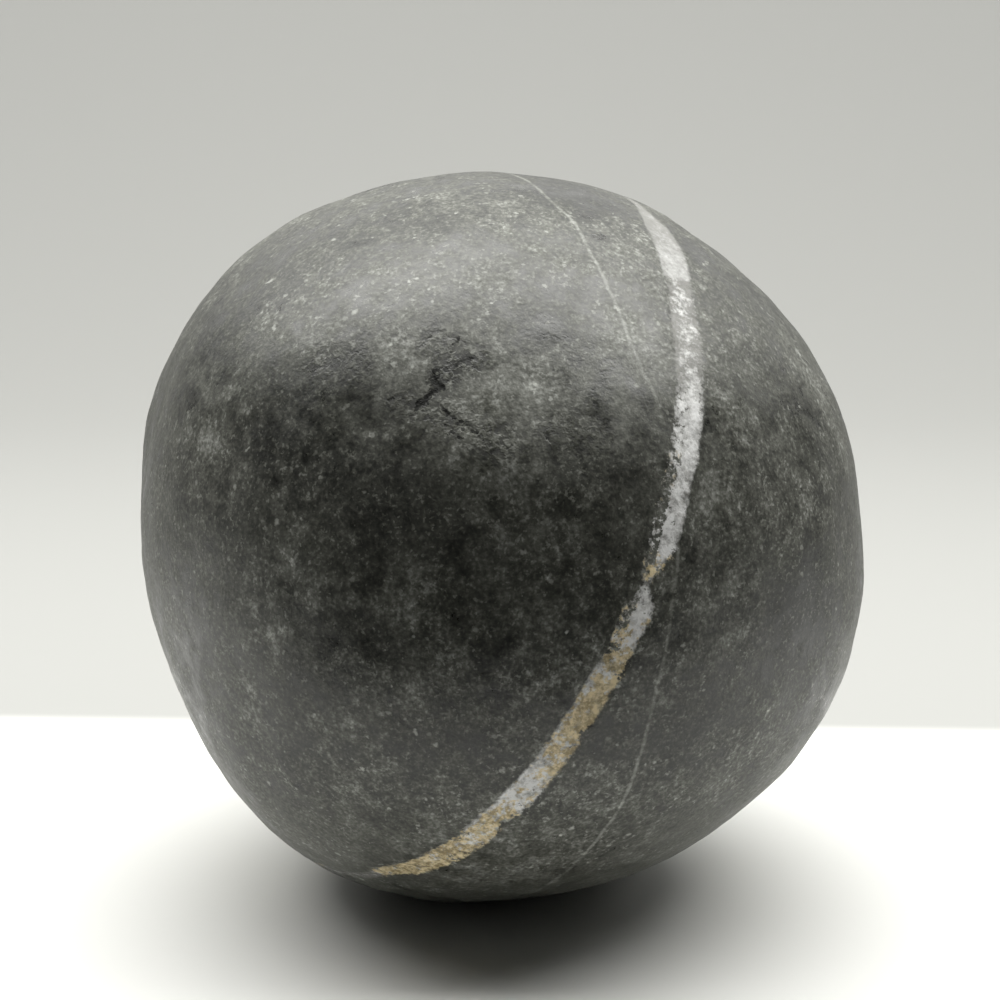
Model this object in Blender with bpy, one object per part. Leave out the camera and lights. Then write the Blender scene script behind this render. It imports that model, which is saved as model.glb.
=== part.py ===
"""Shaligram stone: one water-rounded river pebble, a little larger than a billiard ball.

The pebble is a single solid. It grew as one concretion and was worn round, so it is
modelled as a ball whose radius is modulated by a few long waves and by a handful of broad
swells and flats, then cut flat where it rests.

Frame: metres, +Z up, origin at the centre of the flat that it rests on. The side with the
pale vein faces -Y. The vein fills a crack in the stone and is flush with it, so it is part
of the same solid.
"""

import math

import bmesh
import bpy
from mathutils import Vector

# ---- driving dimensions ---------------------------------------------------------------
MEAN_RADIUS = 0.03606  # of the ball before the waves
CORE_HEIGHT = 0.03520  # of the ball's centre above the rest face
FACE_TILT = 12.0  # degrees that the broad face leans back from vertical
ICO_LEVEL = 5  # 20 * 4 ** (ICO_LEVEL - 1) triangles

# Waves round the outline of the broad face: how many crests, height as a share of the
# radius, and where the first crest is, in degrees from +X towards the top.
OUTLINE_WAVES = (
    (2, 0.0118, -52.0),
    (3, 0.0145, 4.0),
    (4, 0.0147, -33.0),
)

# Swells (+) and flats (-): azimuth in degrees from +X towards +Y, elevation in degrees,
# height in millimetres, and half-width in degrees.
SWELLS = (
    ("brow", -112.0, 30.0, 0.35, 26.0),
    ("front flat", -84.0, 2.0, -0.45, 34.0),
    ("chin", -70.0, -34.0, 0.40, 28.0),
    ("right flat", -14.0, -2.0, -0.35, 18.0),
    ("left flat", -172.0, -26.0, -0.50, 18.0),
    ("crown", -80.0, 78.0, 0.20, 26.0),
    ("crown flat", 82.0, 50.0, -0.55, 30.0),
    ("back flat", 96.0, 12.0, -0.90, 40.0),
    ("back left swell", 146.0, 24.0, 0.55, 30.0),
    ("back right swell", 40.0, -22.0, 0.45, 30.0),
    ("heel", 110.0, -48.0, 0.50, 30.0),
)

STONE_COLOUR = (0.050, 0.050, 0.046, 1.0)


def direction(azimuth, elevation):
    a, e = math.radians(azimuth), math.radians(elevation)
    return Vector((math.cos(a) * math.cos(e), math.sin(a) * math.cos(e), math.sin(e)))


def face_axes(tilt):
    """Right, up and outward of the broad face."""
    t = math.radians(tilt)
    return (
        Vector((1, 0, 0)),
        Vector((0, math.sin(t), math.cos(t))),
        Vector((0, -math.cos(t), math.sin(t))),
    )


def radius_towards(d, right, up):
    """The pebble's radius along the unit vector d, from the ball's centre."""
    x, y = d.dot(right), d.dot(up)
    around, share = math.atan2(y, x), math.hypot(x, y)
    wave = sum(
        height * share**crests * math.cos(crests * (around - math.radians(first)))
        for crests, height, first in OUTLINE_WAVES
    )
    swell = 0.0
    for _, azimuth, elevation, height, half_width in SWELLS:
        sharp = 1.0 / (1.0 - math.cos(math.radians(half_width)))
        swell += height * 1e-3 * math.exp(-sharp * (1.0 - d.dot(direction(azimuth, elevation))))
    return MEAN_RADIUS * (1.0 + wave) + swell


def stone_mesh():
    right, up, _ = face_axes(FACE_TILT)
    bm = bmesh.new()
    bmesh.ops.create_icosphere(bm, subdivisions=ICO_LEVEL, radius=1.0)
    for v in bm.verts:
        d = v.co.normalized()
        v.co = d * radius_towards(d, right, up) + Vector((0, 0, CORE_HEIGHT))
    # The rest face: everything below the surface that it stands on is cut away.
    cut = bmesh.ops.bisect_plane(
        bm,
        geom=bm.verts[:] + bm.edges[:] + bm.faces[:],
        dist=1e-7,
        plane_co=(0, 0, 0),
        plane_no=(0, 0, 1),
        clear_inner=True,
    )
    rim = [e for e in cut["geom_cut"] if isinstance(e, bmesh.types.BMEdge)]
    bmesh.ops.contextual_create(bm, geom=rim)
    # The cut leaves slivers beside its rim.
    bmesh.ops.dissolve_degenerate(bm, dist=2e-5, edges=bm.edges[:])
    bmesh.ops.recalc_face_normals(bm, faces=bm.faces[:])
    mesh = bpy.data.meshes.new("stone")
    bm.to_mesh(mesh)
    bm.free()
    mesh.shade_smooth()
    mesh.set_sharp_from_angle(angle=math.radians(25))
    return mesh


def main():
    for obj in list(bpy.data.objects):
        bpy.data.objects.remove(obj, do_unlink=True)
    stone = bpy.data.objects.new("stone", stone_mesh())
    bpy.context.scene.collection.objects.link(stone)
    material = bpy.data.materials.new("stone")
    material.use_nodes = True
    shader = material.node_tree.nodes["Principled BSDF"]
    shader.inputs["Base Color"].default_value = STONE_COLOUR
    shader.inputs["Roughness"].default_value = 0.45
    shader.inputs["Metallic"].default_value = 0.0
    stone.data.materials.append(material)


main()
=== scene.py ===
import itertools
import math

import bmesh
import bpy
import numpy as np
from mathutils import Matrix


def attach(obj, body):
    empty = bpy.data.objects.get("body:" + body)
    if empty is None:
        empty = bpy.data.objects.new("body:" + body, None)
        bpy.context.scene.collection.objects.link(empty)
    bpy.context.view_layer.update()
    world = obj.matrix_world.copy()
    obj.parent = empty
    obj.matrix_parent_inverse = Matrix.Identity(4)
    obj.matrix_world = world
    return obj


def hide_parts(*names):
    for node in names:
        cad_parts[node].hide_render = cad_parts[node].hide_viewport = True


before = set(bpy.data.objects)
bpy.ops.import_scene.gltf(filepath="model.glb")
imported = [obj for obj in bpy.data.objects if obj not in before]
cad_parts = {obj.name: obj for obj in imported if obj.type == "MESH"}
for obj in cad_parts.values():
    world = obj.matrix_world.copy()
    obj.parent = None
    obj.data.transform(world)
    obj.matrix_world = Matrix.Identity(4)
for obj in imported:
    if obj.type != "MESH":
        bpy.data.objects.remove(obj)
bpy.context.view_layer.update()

scene = bpy.context.scene

# ======================================================================================================
# The stone's smooth shape: the same formula as the CAD model, in metres
# ======================================================================================================
MEAN_RADIUS = 0.03606
CORE_HEIGHT = 0.03520
FACE_TILT = 12.0
OUTLINE_WAVES = ((2, 0.0118, -52.0), (3, 0.0145, 4.0), (4, 0.0147, -33.0))
SWELLS = (
    ("brow", -112.0, 30.0, 0.35, 26.0),
    ("front flat", -84.0, 2.0, -0.45, 34.0),
    ("chin", -70.0, -34.0, 0.40, 28.0),
    ("right flat", -14.0, -2.0, -0.35, 18.0),
    ("left flat", -172.0, -26.0, -0.50, 18.0),
    ("crown", -80.0, 78.0, 0.20, 26.0),
    ("crown flat", 82.0, 50.0, -0.55, 30.0),
    ("back flat", 96.0, 12.0, -0.90, 40.0),
    ("back left swell", 146.0, 24.0, 0.55, 30.0),
    ("back right swell", 40.0, -22.0, 0.45, 30.0),
    ("heel", 110.0, -48.0, 0.50, 30.0),
)
TILT = math.radians(FACE_TILT)
# The face's own axes. The front of the stone is -OUTWARD turned 12 degrees up.
RIGHT = np.array((1.0, 0.0, 0.0))
UP = np.array((0.0, math.sin(TILT), math.cos(TILT)))
OUTWARD = np.array((0.0, -math.cos(TILT), math.sin(TILT)))
CORE_MM = np.array((0.0, 0.0, CORE_HEIGHT * 1e3))


def towards(azimuth, elevation):
    a, e = math.radians(azimuth), math.radians(elevation)
    return np.array((math.cos(e) * math.cos(a), math.cos(e) * math.sin(a), math.sin(e)))


def stone_radius(d):
    """Millimetres from the core to the smooth surface along each unit direction."""
    x, y = d @ RIGHT, d @ UP
    around, share = np.arctan2(y, x), np.hypot(x, y)
    wave = sum(h * share**k * np.cos(k * (around - math.radians(first))) for k, h, first in OUTLINE_WAVES)
    swell = sum(
        height * np.exp(-(1 - d @ towards(az, el)) / (1 - math.cos(math.radians(half))))
        for _, az, el, height, half in SWELLS
    )
    return MEAN_RADIUS * 1e3 * (1 + wave) + swell


def on_face(x, y):
    """The surface point, in mm from the core, that lies x mm right and y mm up of the core, seen square on."""
    point = np.array((x, y, math.sqrt(max(36.0**2 - x * x - y * y, 1.0))))
    for _ in range(8):
        d = point / np.linalg.norm(point)
        reach = stone_radius((d[0] * RIGHT + d[1] * UP + d[2] * OUTWARD)[None])[0]
        point[2] = math.sqrt(max(reach**2 - x * x - y * y, 1.0))
    return point[0] * RIGHT + point[1] * UP + point[2] * OUTWARD


# ======================================================================================================
# Noise for the mesh, in mm
# ======================================================================================================
SLOPES = np.array(
    [s for s in itertools.product((-1, 0, 1), repeat=3) if sum(map(abs, s)) == 2], float
)


def lumps(p, size, seed):
    """Gradient noise, about -1 to 1, with lumps of about that size."""
    q = p / size
    cell = np.floor(q).astype(np.int64)
    f = q - cell
    ease = f * f * f * (f * (f * 6 - 15) + 10)
    total = np.zeros(len(p))
    for corner in itertools.product((0, 1), repeat=3):
        c = cell + corner
        h = (c[:, 0] * 73856093) ^ (c[:, 1] * 19349663) ^ (c[:, 2] * 83492791) ^ (seed * 2654435761)
        h &= 0xFFFFFFFF
        h = ((h ^ (h >> 15)) * 2246822519) & 0xFFFFFFFF
        h = ((h ^ (h >> 13)) * 3266489917) & 0xFFFFFFFF
        h ^= h >> 16
        rise = ((f - corner) * SLOPES[h % 12]).sum(1)
        weight = np.prod(np.where(corner, ease, 1 - ease), axis=1)
        total += rise * weight
    return total * 1.5


def ease(x, low, high):
    t = np.clip((x - low) / (high - low), 0, 1)
    return t * t * (3 - 2 * t)


# ======================================================================================================
# The veins: each is a plane that cuts the whole stone
# ======================================================================================================
class Vein:
    """A plane through the stone. A point has a place across it, in mm, and an angle round it, in degrees."""

    def __init__(self, normal, offset):
        self.normal = np.array(normal) / np.linalg.norm(normal)
        self.offset = offset
        first = np.cross((0, 0, 1), self.normal)
        self.first = first / np.linalg.norm(first)
        self.second = np.cross(self.normal, self.first)

    def place(self, p):
        across = p @ self.normal - self.offset
        angle = np.degrees(np.arctan2(p @ self.second, p @ self.first))
        return across, angle


def along(stations, angle, blur=0.6):
    """Each column of the stations, read at each angle round the stone and slightly smoothed."""
    table = np.array(sorted(stations))
    fine = np.arange(-180, 180, 0.25)
    reach = int(4 * blur / 0.25)
    bell = np.exp(-0.5 * (np.arange(-reach, reach + 1) * 0.25 / blur) ** 2)
    bell /= bell.sum()
    columns = []
    for k in range(1, table.shape[1]):
        line = np.interp(fine, table[:, 0], table[:, k], period=360)
        line = np.convolve(np.concatenate((line[-reach:], line, line[:reach])), bell, "valid")
        columns.append(np.interp(angle, fine, line, period=360))
    return columns


# The wide calcite vein. Stations: angle, its two edges in mm, how fully it is filled, how rusty, how white.
MAIN = Vein((-0.7725, -0.4730, 0.4237), 7.27)
MAIN_STATIONS = (
    (100.0, -0.7, 0.5, 0.80, 0.00, 0.40),
    (84.0, -1.0, 0.2, 0.85, 0.00, -0.15),
    (73.0, -1.6, -0.4, 0.90, 0.00, -0.20),
    (70.0, -1.45, -0.2, 1.00, 0.00, -0.10),
    (66.0, -1.55, 0.4, 1.08, 0.00, 0.10),
    (62.5, -1.9, 0.9, 1.08, 0.00, 0.06),
    (57.5, -2.1, 1.15, 1.08, 0.00, 0.22),
    (53.5, -2.05, 1.2, 1.08, 0.00, 0.42),
    (49.6, -1.8, 1.25, 1.06, 0.00, 0.48),
    (48.2, -1.45, 1.1, 0.86, 0.00, -0.05),
    (46.5, -1.55, 1.15, 0.95, 0.00, 0.30),
    (43.0, -1.55, 1.35, 0.98, 0.00, 0.26),
    (38.0, -1.5, 1.5, 0.98, 0.00, 0.26),
    (35.0, -1.45, 1.5, 0.98, 0.00, 0.29),
    (32.0, -1.2, 1.5, 0.98, 0.00, 0.28),
    (29.0, -1.3, 1.5, 1.00, 0.02, 0.56),
    (24.0, -1.4, 1.5, 1.00, 0.06, 0.86),
    (19.5, -1.4, 1.5, 0.99, 0.08, 0.84),
    (16.0, -1.35, 1.45, 0.98, 0.12, 0.80),
    (12.0, -1.35, 1.4, 0.97, 0.10, 0.82),
    (8.0, -1.35, 1.35, 0.97, 0.06, 0.86),
    (5.0, -1.45, 1.3, 0.98, 0.06, 0.94),
    (3.8, -1.3, 1.2, 0.88, 0.15, 0.75),
    (2.6, -0.55, 1.2, 0.84, 0.50, 0.50),
    (1.3, -0.20, 1.15, 0.86, 0.70, 0.50),
    (-0.3, -0.30, 0.75, 0.84, 0.15, 0.50),
    (-1.4, -0.5, 0.85, 0.88, 0.00, 0.70),
    (-2.8, -1.25, 0.95, 0.97, 0.08, 1.00),
    (-5.0, -1.35, 1.25, 0.99, 0.20, 1.02),
    (-8.0, -1.2, 1.3, 0.99, 0.42, 1.15),
    (-10.0, -1.2, 1.25, 0.99, 0.58, 1.15),
    (-11.0, -1.1, 0.7, 0.96, 0.70, 0.80),
    (-12.2, -1.25, 1.35, 0.98, 0.80, 0.80),
    (-15.0, -1.25, 1.35, 0.98, 0.68, 1.05),
    (-20.0, -1.3, 1.35, 0.98, 0.92, 0.75),
    (-21.8, -1.3, 1.35, 0.98, 0.92, 0.75),
    (-22.8, -0.2, 1.35, 0.98, 0.90, 0.75),
    (-23.8, -1.45, 1.25, 0.98, 0.85, 0.75),
    (-26.0, -1.5, 1.2, 0.98, 0.66, 0.75),
    (-30.0, -1.5, 1.15, 0.98, 0.62, 0.85),
    (-34.0, -1.6, 1.15, 0.98, 0.28, 1.06),
    (-38.0, -1.6, 1.15, 0.98, 0.34, 0.95),
    (-40.0, -1.45, 1.15, 0.98, 0.55, 0.80),
    (-41.2, -0.5, 1.15, 0.98, 0.72, 0.70),
    (-43.0, -1.6, 1.15, 0.97, 0.72, 0.70),
    (-46.0, -1.8, 1.15, 0.96, 0.46, 0.82),
    (-48.5, -1.8, 1.0, 0.95, 0.60, 0.75),
    (-52.0, -1.8, 1.0, 0.96, 0.74, 0.65),
    (-57.0, -1.8, 0.95, 0.97, 0.78, 0.60),
    (-61.0, -1.7, 0.85, 0.97, 0.85, 0.50),
    (-63.5, -1.5, 1.05, 0.93, 0.80, 0.35),
    (-65.5, -0.9, 1.2, 0.88, 0.80, 0.30),
    (-68.0, -0.6, 1.2, 0.84, 0.70, 0.35),
    (-69.5, -0.7, 0.7, 0.66, 0.10, 0.20),
    (-76.0, -1.0, 0.5, 0.60, 0.00, 0.15),
    (-92.0, -0.5, 0.45, 0.70, 0.30, 0.45),
    (-112.0, -1.0, 0.9, 0.92, 0.55, 0.60),
    (-135.0, -1.4, 1.2, 0.98, 0.35, 0.80),
    (-158.0, -1.1, 1.3, 0.96, 0.15, 0.75),
    (178.0, -1.5, 1.0, 0.98, 0.30, 0.80),
    (150.0, -1.2, 1.2, 1.02, 0.10, 0.80),
    (122.0, -1.3, 0.8, 0.95, 0.05, 0.70),
)
# Where the vein's two sides are worn, pitted and stained. Stations: angle, the left side, the right side.
WORN_STATIONS = (
    (78.0, 0.0, 0.1), (50.0, 0.0, 0.1), (49.0, 0.2, 0.3), (48.7, 1.6, 0.5), (47.6, 1.6, 0.5), (47.2, 0.4, 0.4), (44.0, 0.45, 0.4),
    (40.0, 0.5, 0.45), (35.0, 0.5, 0.6), (33.4, 0.5, 0.8), (32.3, 0.6, 1.3), (31.2, 0.6, 0.8), (28.0, 0.6, 0.6), (24.0, 0.75, 0.55),
    (20.0, 0.9, 0.4), (18.0, 1.1, 0.2), (15.0, 1.25, 0.1), (10.0, 1.3, 0.1), (6.0, 1.35, 0.3), (4.4, 1.3, 1.4), (3.0, 1.2, 1.6),
    (1.0, 0.6, 0.9), (-1.5, 0.8, 0.7), (-3.5, 1.2, 0.3), (-8.0, 1.0, 0.3), (-10.2, 1.1, 0.4), (-11.4, 1.2, 0.6), (-12.0, 0.2, 0.9),
    (-13.5, 0.0, 1.1), (-15.0, 0.0, 0.6), (-17.0, 0.0, 0.3), (-21.0, 0.0, 0.5), (-22.8, 0.0, 1.1), (-24.5, 0.0, 0.3), (-31.0, 0.0, 0.3),
    (-38.0, 0.0, 0.4), (-41.0, 0.1, 1.1), (-43.5, 0.2, 0.3), (-46.0, 0.4, 0.3), (-47.0, 1.3, 0.3), (-49.0, 1.3, 0.4), (-50.0, 0.4, 0.4),
    (-51.5, 0.2, 0.5), (-52.5, 0.9, 1.2), (-54.0, 0.8, 1.2), (-55.0, 0.1, 0.4), (-62.0, 0.3, 0.4), (-66.0, 0.2, 0.8), (-72.0, 0.6, 0.6),
    (-100.0, 0.1, 0.4), (-150.0, 0.8, 0.2), (170.0, 0.2, 0.7), (140.0, 0.7, 0.1), (120.0, 0.0, 0.3),
)

# The hairline vein. Stations: angle, its middle in mm off the plane, how clearly it shows.
HAIR = Vein((0.8757, 0.4752, -0.0860), -3.333)
HAIR_STATIONS = (
    (96.0, -0.30, 0.55),
    (104.0, -0.85, 0.9),
    (112.0, -0.90, 1.0),
    (118.0, -0.55, 1.0),
    (125.0, -0.75, 1.0),
    (135.0, -0.70, 0.9),
    (141.0, -0.65, 0.9),
    (146.0, -0.40, 0.8),
    (149.0, 0.05, 0.8),
    (153.0, 0.30, 0.25),
    (160.0, 0.50, 0.2),
    (170.0, 0.90, 0.8),
    (175.0, 0.80, 0.8),
    (178.0, 0.55, 0.7),
    (181.0, 0.40, 0.6),
    (184.0, 0.30, 0.6),
    (190.0, 0.00, 0.75),
    (200.0, 0.05, 0.8),
    (210.0, 0.15, 0.85),
    (220.0, -0.20, 0.8),
    (232.0, -0.40, 0.4),
    (250.0, -0.20, 0.5),
    (280.0, 0.30, 0.7),
    (310.0, -0.30, 0.6),
    (340.0, 0.30, 0.8),
    (370.0, 0.00, 0.5),
    (420.0, 0.40, 0.7),
)
HAIR_STATIONS = tuple(((a + 180) % 360 - 180, m, s) for a, m, s in HAIR_STATIONS)

# ======================================================================================================
# Marks on the face: lines of points, each x mm right and y mm up of the core, seen square on
# ======================================================================================================
# Soft swells and hollows of the worn face: (name, two ends of a line on the face, spread in mm, height in mm)
SOFT_FORMS = (
    ("cheek", ((-17.5, 14.5), (-12.5, 14.5)), 4.3, 0.45),
    ("left brow", ((-22.0, 20.0), (-21.0, 21.0)), 4.2, 0.13),
    ("left dip", ((-18.0, 4.0), (-12.0, 3.5)), 4.0, -0.12),
    ("upper hollow", ((3.5, 19.5), (11.0, 19.5)), 5.2, -0.42),
    ("front swell", ((0.0, 3.5), (8.5, 3.5)), 4.6, 0.31),
    ("right corner", ((33.6, -8.5), (32.6, -12.5)), 5.0, 0.55),
    ("right shoulder", ((31.5, 14.0), (29.5, 18.0)), 4.5, 0.32),
    ("left shoulder", ((-33.8, 8.0), (-32.5, 12.0)), 4.5, -0.40),
    ("upper left", ((-25.5, 24.0), (-20.0, 28.5)), 4.5, -0.28),
    ("left hip", ((-34.6, -5.0), (-34.3, -7.5)), 4.0, 0.30),
    ("vein shoulder", ((22.8, 26.6), (19.5, 29.2)), 3.4, -0.38),
    ("middle swell", ((-2.0, 6.8), (-0.8, 6.8)), 2.8, 0.17),
    ("lower swell", ((-1.0, 5.8), (7.5, 5.0)), 3.2, 0.12),
    ("left middle swell", ((-8.2, 5.4), (-6.8, 5.2)), 2.4, 0.11),
    ("swell by the vein", ((12.6, 9.0), (14.0, 8.6)), 2.6, 0.15),
)
# Weathered cracks, cut as shallow grooves and darkened in colour as painted shade: (points, half width, strength)
CRACKS = (
    (((-6.0, 16.5), (-5.1, 16.9), (-4.1, 17.0), (-3.0, 16.3), (-2.4, 15.7)), 0.26, 0.5),
    (((-3.0, 16.4), (-3.5, 16.1), (-3.8, 15.3)), 0.26, 0.6),
    (((-1.7, 14.9), (-3.1, 14.4), (-3.8, 14.0), (-4.4, 13.8)), 0.45, 0.62),
    (((-4.2, 13.9), (-4.7, 13.7), (-5.1, 13.3), (-5.1, 12.8), (-4.6, 12.3), (-4.0, 12.1)), 0.46, 1.0),
    (((-4.7, 12.5), (-5.4, 11.6), (-6.0, 11.1), (-6.5, 10.8), (-6.8, 10.2)), 0.44, 0.85),
    (((-9.1, 11.2), (-8.0, 10.7)), 0.32, 0.6),
    (((-4.6, 10.8), (-3.9, 9.9), (-3.3, 9.3), (-2.2, 8.8), (-1.2, 7.6)), 0.50, 0.72),
    (((-4.4, 9.0), (-3.4, 8.4), (-2.8, 7.3)), 0.42, 0.55),
    (((3.7, 8.8), (4.4, 7.7)), 0.26, 0.5),
)
# Worn, darker ground round the cracks: (points, half width, strength)
BRUISES = (
    (((-5.0, 12.5), (-3.8, 13.8), (-2.4, 14.6)), 1.1, 0.75),
    (((-5.5, 16.2), (-3.5, 16.0)), 1.2, 0.4),
    (((-5.6, 11.6), (-6.8, 10.4)), 1.1, 0.6),
    (((-4.5, 10.0), (-1.5, 8.2), (0.5, 7.0)), 1.8, 0.55),
    (((-8.5, 11.0), (-6.5, 10.8)), 1.3, 0.35),
    (((-14.5, 15.0), (-12.0, 14.2)), 1.6, 0.35),
    (((4.0, 8.5), (8.0, 8.0)), 1.6, 0.3),
)
# Paler (strength above 0) or darker (below 0) ground: partly dustier or cleaner rock, partly painted highlight and
# painted shade that strengthen or weaken the sheen and the shade on the face: (x, y, radius, strength)
DUST_AND_PAINTED_LIGHT_PATCHES = (
    # the upper face
    (3.6, 13.1, 2.0, 1.2), (2.2, 13.6, 1.2, 0.6), (-2.2, 10.2, 1.5, 1.9), (0.3, 21.4, 2.6, 0.7), (-5.7, 20.9, 2.0, 0.6),
    (-8.1, 16.0, 1.5, 1.4), (-10.2, 18.3, 1.4, 0.6), (-8.3, 18.3, 1.0, -0.5), (-13.2, 17.4, 1.1, -0.5), (-15.4, 16.0, 1.5, 1.7), (-8.5, 21.8, 2.0, 0.9), (-19.7, 19.1, 1.6, 0.9), (-12.5, 22.8, 2.2, 0.6),
    (-3.0, 24.0, 2.2, 0.7), (-5.5, 30.3, 1.4, 0.9), (5.0, 27.0, 2.8, 0.6), (8.9, 23.1, 2.4, 0.4), (10.6, 26.0, 1.8, 0.7),
    (11.0, 17.5, 2.2, 0.9), (10.4, 15.7, 3.0, 0.4), (16.2, 20.5, 1.4, 0.7), (11.8, 22.5, 1.8, 0.4), (14.6, 23.0, 1.6, 0.5),
    (-14.0, 26.4, 2.8, -0.6), (-6.4, 29.0, 2.2, -0.6), (4.3, 29.8, 2.2, -0.5), (-22.2, 25.0, 1.8, -0.9), (-22.3, 22.0, 1.4, -0.9), (-23.2, 17.4, 1.6, -0.9), (5.8, 29.6, 1.6, -1.2), (17.2, 26.5, 1.2, -1.0), (-5.9, 14.9, 1.0, 1.0), (-0.4, 11.4, 1.4, 0.9), (0.7, 29.6, 1.3, 1.0), (12.5, 27.4, 1.6, 0.8), (16.6, 29.2, 1.2, -1.6), (13.4, 14.9, 1.4, 0.9), (-0.4, 15.2, 1.2, 1.5), (6.2, 8.9, 1.5, 1.0), (8.0, 25.0, 1.2, -0.6), (8.6, 29.6, 1.4, -0.7), (-7.4, 8.9, 1.3, 0.9), (-25.9, 18.6, 2.0, -0.8),
    (-24.3, 18.2, 2.0, -0.8), (1.9, 16.5, 1.3, -1.3), (5.4, 17.8, 1.3, -0.6), (12.0, 12.6, 1.1, -0.8), (-4.7, 13.6, 0.9, -0.9),
    (-6.0, 33.0, 2.6, -0.5), (4.5, 32.9, 2.4, -1.6), (9.0, 30.9, 2.2, -1.6), (0.0, 34.0, 2.4, -1.2),
    (0.2, 7.7, 2.2, 0.8), (12.4, 16.2, 3.6, 0.3),
    # the left side
    (-12.7, 10.3, 0.9, 0.9), (-14.7, 11.6, 0.9, 0.9), (-25.2, 8.3, 1.6, 1.3), (-17.9, -2.9, 2.2, 0.8), (-20.2, -8.6, 2.3, 1.0),
    (-25.1, 11.0, 2.6, 0.5), (-31.7, 3.4, 2.2, 1.0), (-13.6, 11.4, 3.0, -0.5), (-17.6, 10.6, 1.3, -0.8), (-16.7, 7.4, 2.4, -0.5), (-20.3, 7.3, 1.6, -0.9), (-24.8, 1.3, 2.4, -0.4),
    (-22.3, -0.5, 1.4, -0.6), (-28.3, 13.5, 1.6, -0.6),
    # the dark middle
    (-22.5, 0.9, 1.4, -0.8), (-3.5, 5.7, 1.7, 1.1), (1.3, 2.2, 1.6, 0.9), (8.6, 1.4, 1.5, 0.8), (-4.7, -5.3, 1.6, 0.5), (-14.3, -2.1, 1.6, 0.4), (-14.0, 9.0, 1.3, 0.6), (0.2, 4.6, 1.6, 1.2), (4.0, -0.3, 1.9, 1.1), (4.2, 5.2, 1.3, -0.6), (-16.7, -2.4, 1.6, 0.5), (-6.5, -5.0, 2.4, 0.8), (-8.6, 4.3, 2.8, -1.1),
    (-3.4, 0.9, 2.6, -0.5), (7.8, 2.9, 2.4, -0.4), (-14.8, 3.0, 2.0, -0.4), (6.4, 1.3, 1.6, 0.7),
    # low on the left
    (-5.5, -9.5, 2.8, 0.5), (-5.4, -25.2, 1.3, -0.9), (1.7, -28.7, 1.5, -0.8), (-1.4, -15.4, 1.5, -0.4), (-6.4, -12.9, 1.3, -0.6), (-11.8, -20.7, 3.2, 0.4), (-17.5, -24.5, 2.0, 0.6), (-27.6, -13.2, 2.0, -1.1), (-4.6, -25.6, 2.0, 1.0), (-16.9, -14.6, 2.0, -0.8), (-14.4, -18.4, 1.8, -0.8),
    (-11.4, -12.6, 1.3, -0.5), (-13.3, -13.2, 1.4, 1.0), (1.5, -17.5, 1.8, -0.4), (-19.2, -19.8, 1.6, -0.5), (0.2, -9.5, 1.8, -0.6), (-1.6, -8.0, 1.3, 0.5), (-3.0, -14.0, 2.2, -0.4), (1.2, -15.3, 1.6, -0.5), (-12.3, -10.6, 1.4, -0.4), (-5.2, -15.7, 2.4, -0.6), (-4.8, -16.8, 1.8, -0.4), (1.5, -20.8, 1.3, -0.7),
    # low on the right
    (4.1, -12.5, 1.7, 1.7), (9.0, -22.2, 2.6, 1.4), (6.8, -22.0, 1.4, 0.7), (10.6, -7.0, 1.2, 0.6), (8.8, -11.0, 1.2, 0.7), (16.6, -21.4, 1.6, -0.9), (10.8, -23.0, 1.2, -0.5), (27.0, -8.0, 3.2, -0.6), (21.2, -8.2, 1.0, 1.1), (23.6, -9.6, 0.9, 1.3), (26.2, -6.0, 1.0, 1.3), (24.3, -2.2, 0.9, 1.1), (20.3, -3.6, 0.9, 0.6), (27.3, 2.4, 0.9, 1.0), (29.3, 5.4, 0.9, 0.9), (25.8, -9.2, 2.2, -0.7), (27.8, -6.0, 2.2, -0.5), (29.5, -11.5, 2.2, -0.6), (23.4, -23.4, 1.8, -0.8), (9.4, -10.0, 1.2, 1.1), (4.0, -9.9, 1.2, 0.7), (11.0, -6.9, 1.3, 0.8), (11.0, -2.6, 1.4, 0.7), (7.6, -22.2, 1.5, 0.4), (3.6, -28.6, 1.5, 0.6), (-1.8, -30.0, 1.4, 0.6), (5.3, -14.8, 1.2, -0.7), (5.6, -27.9, 3.0, 0.7), (4.8, -17.8, 1.5, 0.8), (12.8, -10.0, 2.2, 0.6),
    (14.8, -10.6, 1.6, 0.7), (11.6, -7.8, 1.2, 0.8), (17.8, -19.8, 1.8, 0.4), (15.6, -18.6, 1.8, -0.7), (20.5, -18.2, 2.0, -0.5), (23.8, -14.8, 1.9, -0.6), (12.6, -23.3, 1.3, -0.5), (17.5, -15.9, 1.8, -0.4), (13.9, -15.7, 2.4, -0.3), (16.6, -17.6, 1.8, -0.5),
    (21.4, -17.6, 2.4, -0.4), (6.5, -31.4, 2.0, -0.9),
    # the right side
    (18.2, 3.4, 1.5, 2.2), (20.5, 10.3, 1.8, 1.6), (21.2, 15.9, 2.0, 1.3), (19.0, 18.2, 1.4, -0.9), (20.8, 12.6, 1.0, -0.7), (18.4, 13.8, 1.1, 0.9), (22.7, 5.6, 1.3, -0.5), (27.6, 15.6, 2.2, 1.5), (30.8, 10.9, 1.6, 1.2), (29.6, 14.2, 1.5, 1.2), (32.0, 8.0, 1.5, 1.0), (19.0, 11.4, 1.3, 0.9), (23.8, 3.6, 1.6, -0.6), (20.9, 4.6, 2.4, 0.5),
    (26.8, 9.4, 1.9, 1.0), (20.9, -3.0, 1.5, 0.9), (14.6, -4.5, 1.8, 0.8), (26.6, -0.2, 1.8, 0.4), (24.0, 20.0, 1.5, -0.8),
    (14.0, 8.3, 1.0, -1.0), (26.2, -4.1, 2.2, -1.4), (25.6, -8.8, 2.3, -1.5), (29.4, -0.4, 1.4, 0.9), (30.1, 15.0, 1.6, 0.9), (30.0, -6.5, 2.6, -0.8), (30.4, 1.5, 2.4, -0.6),
)
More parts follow.
